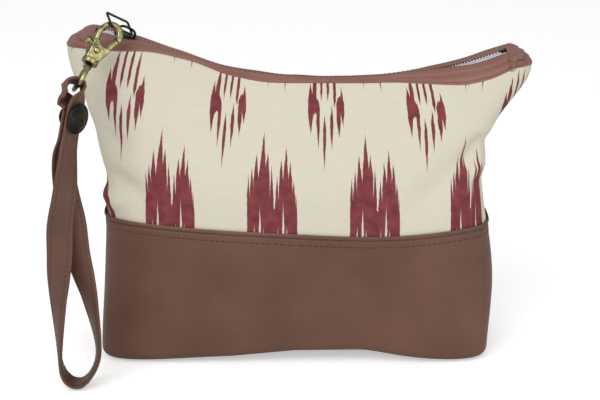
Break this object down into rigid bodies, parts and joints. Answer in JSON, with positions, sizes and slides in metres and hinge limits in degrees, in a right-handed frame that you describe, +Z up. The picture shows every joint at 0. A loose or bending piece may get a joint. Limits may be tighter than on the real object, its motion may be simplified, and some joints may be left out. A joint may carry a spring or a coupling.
{
  "type": "travel pouch",
  "caption": "Zip travel pouch with a boxed base, leather-look lower half, printed cloth upper half and a wrist strap clipped to the zip pull by a swivel clasp",
  "frame": {"origin": "middle of the base, on the ground", "axes": "+X to the right seen from the front, the front faces -Y, +Z up"},
  "size_m": [0.289, 0.123, 0.2195],
  "materials": {
    "leather": "soft grained, satin",
    "gusset_leather": "soft grained, satin",
    "printed_cloth": "plain weave with a maroon woven-style print",
    "lining_cloth": "plain weave",
    "zip_tape": "woven tape",
    "zip_nylon": "moulded",
    "antique_brass": "antiqued, polished on the edges",
    "gunmetal": "dark plated"
  },
  "bodies": {
    "pouch": {"front_lower_panel": "leather", "back_lower_panel": "leather", "base_panel": "leather", "front_hem_band": "leather", "back_hem_band": "leather", "front_upper_panel": "printed_cloth", "back_upper_panel": "printed_cloth", "lining_front": "lining_cloth", "lining_back": "lining_cloth", "lining_base": "lining_cloth", "front_zip_facing": "gusset_leather", "back_zip_facing": "gusset_leather", "left_zip_end": "gusset_leather", "right_zip_end": "gusset_leather", "front_zip_tape": "zip_tape", "back_zip_tape": "zip_tape", "front_zip_teeth": "zip_nylon", "back_zip_teeth": "zip_nylon", "front_top_stop": "gunmetal", "back_top_stop": "gunmetal", "zip_bottom_stop": "gunmetal"},
    "slider": {"zip_slider": "gunmetal", "slider_bail": "gunmetal"},
    "pull": {"pull_frame": "gunmetal"},
    "clasp": {"clasp_hook": "antique_brass", "gate_pin": "antique_brass", "gate_spring": "gunmetal"},
    "gate": {"clasp_gate": "antique_brass"},
    "eye": {"swivel_eye": "antique_brass"},
    "strap": {"wrist_strap": "leather", "rivet_post": "gunmetal", "rivet_cap": "gunmetal", "rivet_back": "gunmetal"}
  },
  "joints": [
    {"name": "slider_travel", "type": "hinge", "parent": "pouch", "child": "slider", "pos_m": [0.0195, 0, 0.456], "axis": [0, -1, 0], "range_deg": [0, 45]},
    {"name": "pull_tilt", "type": "hinge", "parent": "slider", "child": "pull", "pos_m": [-0.10171, 0, 0.20315], "axis": [-0.9017, 0, 0.4323], "range_deg": [0, 80]},
    {"name": "clasp_swing", "type": "hinge", "parent": "pull", "child": "clasp", "pos_m": [-0.10684, -0.03103, 0.21044], "axis": [-0.2071, -0.9172, 0.3403], "range_deg": [-8, 40]},
    {"name": "gate_trigger", "type": "hinge", "parent": "clasp", "child": "gate", "pos_m": [-0.117, -0.04148, 0.19834], "axis": [0.4055, -0.8321, 0.3784], "range_deg": [0, 22], "stiffness_Nm_per_rad": 0.02, "springref_deg": -11.46},
    {"name": "eye_swivel", "type": "hinge", "parent": "clasp", "child": "eye", "pos_m": [-0.117, -0.04148, 0.19834], "axis": [0.412, 0.5359, 0.7369], "continuous": true},
    {"name": "strap_swing", "type": "hinge", "parent": "eye", "child": "strap", "pos_m": [-0.12701, -0.0545, 0.18043], "axis": [-0.318, 0.8424, -0.4349], "range_deg": [-12, 60]}
  ]
}
